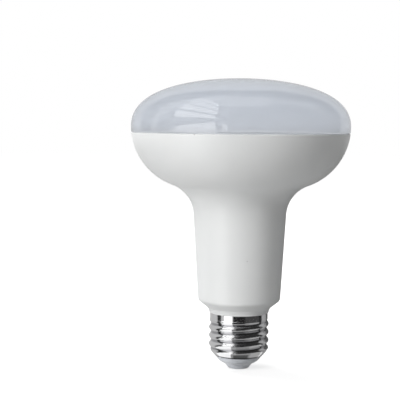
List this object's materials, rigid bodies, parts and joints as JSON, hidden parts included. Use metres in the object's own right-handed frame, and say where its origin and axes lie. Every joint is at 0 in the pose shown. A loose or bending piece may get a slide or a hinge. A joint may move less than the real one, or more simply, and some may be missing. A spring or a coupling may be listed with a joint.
{
  "type": "reflector bulb",
  "caption": "Reflector lamp with an opal domed front, a rounded white bowl on a long tapered neck, and a metal screw cap with a rolled round thread.",
  "frame": {"origin": "centre of the centre contact's flat outer face, on the lamp's axis", "axes": "+Z along the lamp's axis, from the screw cap to the diffuser's crown; +X and +Y are free"},
  "size_m": [0.095, 0.095, 0.1266],
  "materials": {
    "opal_diffuser": "glossy opal",
    "white_housing": "satin moulded",
    "nickel_shell": "bright nickel plate",
    "cap_insulator": "moulded",
    "contact_metal": "satin"
  },
  "bodies": {
    "root": {"diffuser": "opal_diffuser", "housing": "white_housing", "screw_shell": "nickel_shell", "insulator": "cap_insulator", "centre_contact": "contact_metal"}
  },
  "joints": []
}
